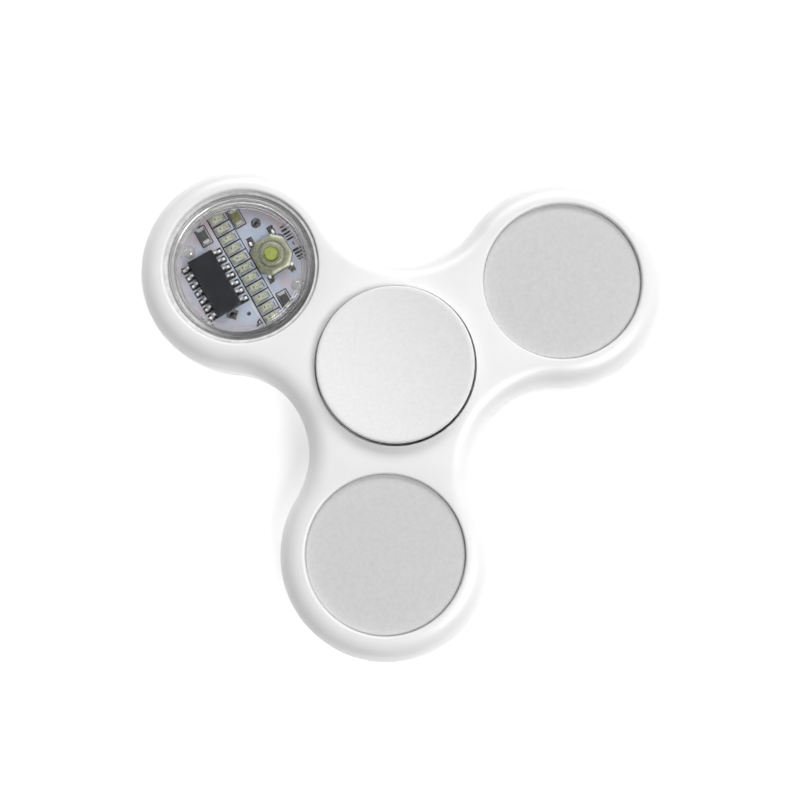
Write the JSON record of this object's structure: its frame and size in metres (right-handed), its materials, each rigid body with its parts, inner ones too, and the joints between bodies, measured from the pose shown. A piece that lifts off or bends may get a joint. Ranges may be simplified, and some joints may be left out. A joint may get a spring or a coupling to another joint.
{
  "type": "fidget spinner",
  "caption": "Three-lobed white fidget spinner on a ball bearing with dished finger caps, a clear light module in one lobe and covered weight rings in the others.",
  "frame": {"origin": "centre of the bearing, on the spin axis, halfway up the frame", "axes": "+Z along the spin axis towards the upper finger cap; +X to the right and -Y along the lobe that lies between the other two, seen from above"},
  "size_m": [0.0746, 0.0684, 0.0132],
  "materials": {
    "frame_plastic": "satin",
    "cap_plastic": "satin",
    "cover_plastic": "matte",
    "bearing_steel": "polished",
    "ball_steel": "polished",
    "cage_steel": "satin",
    "weight_steel": "satin",
    "clear_plastic": "gloss",
    "board_laminate": "satin",
    "cell_steel": "satin",
    "contact_brass": "satin",
    "lamp_phosphor": "satin",
    "chip_epoxy": "matte",
    "tinned_metal": "satin",
    "switch_base_plastic": "matte",
    "switch_cover_metal": "satin",
    "dome_steel": "polished",
    "plunger_plastic": "satin",
    "resistor_ceramic": "matte",
    "capacitor_ceramic": "matte"
  },
  "bodies": {
    "held_core": {"bearing_inner_ring": "bearing_steel", "top_cap": "cap_plastic", "bottom_cap": "cap_plastic"},
    "rotor": {"frame": "frame_plastic", "bearing_outer_ring": "bearing_steel", "shield_upper": "bearing_steel", "shield_lower": "bearing_steel", "snap_ring_upper": "bearing_steel", "snap_ring_lower": "bearing_steel", "weight_ring_1": "weight_steel", "cover_upper_1": "cover_plastic", "cover_lower_1": "cover_plastic", "weight_ring_2": "weight_steel", "cover_upper_2": "cover_plastic", "cover_lower_2": "cover_plastic", "module_cup": "clear_plastic", "module_bezel": "clear_plastic", "circuit_board": "board_laminate", "coin_cell": "cell_steel", "cell_contact_lower": "contact_brass", "cell_contact_upper": "contact_brass", "led_1": "lamp_phosphor", "led_2": "lamp_phosphor", "led_3": "lamp_phosphor", "led_4": "lamp_phosphor", "led_5": "lamp_phosphor", "led_6": "lamp_phosphor", "led_7": "lamp_phosphor", "led_8": "lamp_phosphor", "led_9": "lamp_phosphor", "led_10": "lamp_phosphor", "led_11": "lamp_phosphor", "chip_body": "chip_epoxy", "chip_pins": "tinned_metal", "switch_base": "switch_base_plastic", "switch_cover": "switch_cover_metal", "switch_dome": "dome_steel", "switch_legs": "tinned_metal", "resistor_1": "resistor_ceramic", "resistor_2": "resistor_ceramic", "capacitor": "capacitor_ceramic"},
    "cage": {"cage_upper": "cage_steel", "cage_lower": "cage_steel", "cage_rivets": "cage_steel"},
    "ball_1": {"ball_1": "ball_steel"},
    "ball_2": {"ball_2": "ball_steel"},
    "ball_3": {"ball_3": "ball_steel"},
    "ball_4": {"ball_4": "ball_steel"},
    "ball_5": {"ball_5": "ball_steel"},
    "ball_6": {"ball_6": "ball_steel"},
    "ball_7": {"ball_7": "ball_steel"},
    "lens": {"module_lens": "clear_plastic"},
    "button": {"switch_plunger": "plunger_plastic"}
  },
  "joints": [
    {"name": "rotor_spin", "type": "hinge", "parent": "held_core", "child": "rotor", "pos_m": [0, 0, 0], "axis": [0, 0, 1], "continuous": true},
    {"name": "cage_orbit", "type": "hinge", "parent": "held_core", "child": "cage", "pos_m": [0, 0, 0], "axis": [0, 0, 1], "continuous": true},
    {"name": "ball_1_roll", "type": "hinge", "parent": "cage", "child": "ball_1", "pos_m": [0.0075, 0, 0], "axis": [0, 0, 1], "continuous": true},
    {"name": "ball_2_roll", "type": "hinge", "parent": "cage", "child": "ball_2", "pos_m": [0.00468, 0.00586, 0], "axis": [0, 0, 1], "continuous": true},
    {"name": "ball_3_roll", "type": "hinge", "parent": "cage", "child": "ball_3", "pos_m": [-0.00167, 0.00731, 0], "axis": [0, 0, 1], "continuous": true},
    {"name": "ball_4_roll", "type": "hinge", "parent": "cage", "child": "ball_4", "pos_m": [-0.00676, 0.00325, 0], "axis": [0, 0, 1], "continuous": true},
    {"name": "ball_5_roll", "type": "hinge", "parent": "cage", "child": "ball_5", "pos_m": [-0.00676, -0.00325, 0], "axis": [0, 0, 1], "continuous": true},
    {"name": "ball_6_roll", "type": "hinge", "parent": "cage", "child": "ball_6", "pos_m": [-0.00167, -0.00731, 0], "axis": [0, 0, 1], "continuous": true},
    {"name": "ball_7_roll", "type": "hinge", "parent": "cage", "child": "ball_7", "pos_m": [0.00468, -0.00586, 0], "axis": [0, 0, 1], "continuous": true},
    {"name": "lens_press", "type": "slide", "parent": "rotor", "child": "lens", "axis": [0, 0, -1], "range_m": [0, 0.00025], "stiffness_N_per_m": 4000, "springref_m": -0.0001},
    {"name": "button_press", "type": "slide", "parent": "rotor", "child": "button", "axis": [0, 0, -1], "range_m": [0, 0.00025], "deforming": ["switch_dome"]}
  ],
  "couplings": [
    {"joint": "cage_orbit", "follows": "rotor_spin", "ratio": 0.6323},
    {"joint": "ball_1_roll", "follows": "rotor_spin", "ratio": 1.7573},
    {"joint": "ball_2_roll", "follows": "rotor_spin", "ratio": 1.7573},
    {"joint": "ball_3_roll", "follows": "rotor_spin", "ratio": 1.7573},
    {"joint": "ball_4_roll", "follows": "rotor_spin", "ratio": 1.7573},
    {"joint": "ball_5_roll", "follows": "rotor_spin", "ratio": 1.7573},
    {"joint": "ball_6_roll", "follows": "rotor_spin", "ratio": 1.7573},
    {"joint": "ball_7_roll", "follows": "rotor_spin", "ratio": 1.7573},
    {"joint": "button_press", "follows": "lens_press", "ratio": 1}
  ]
}
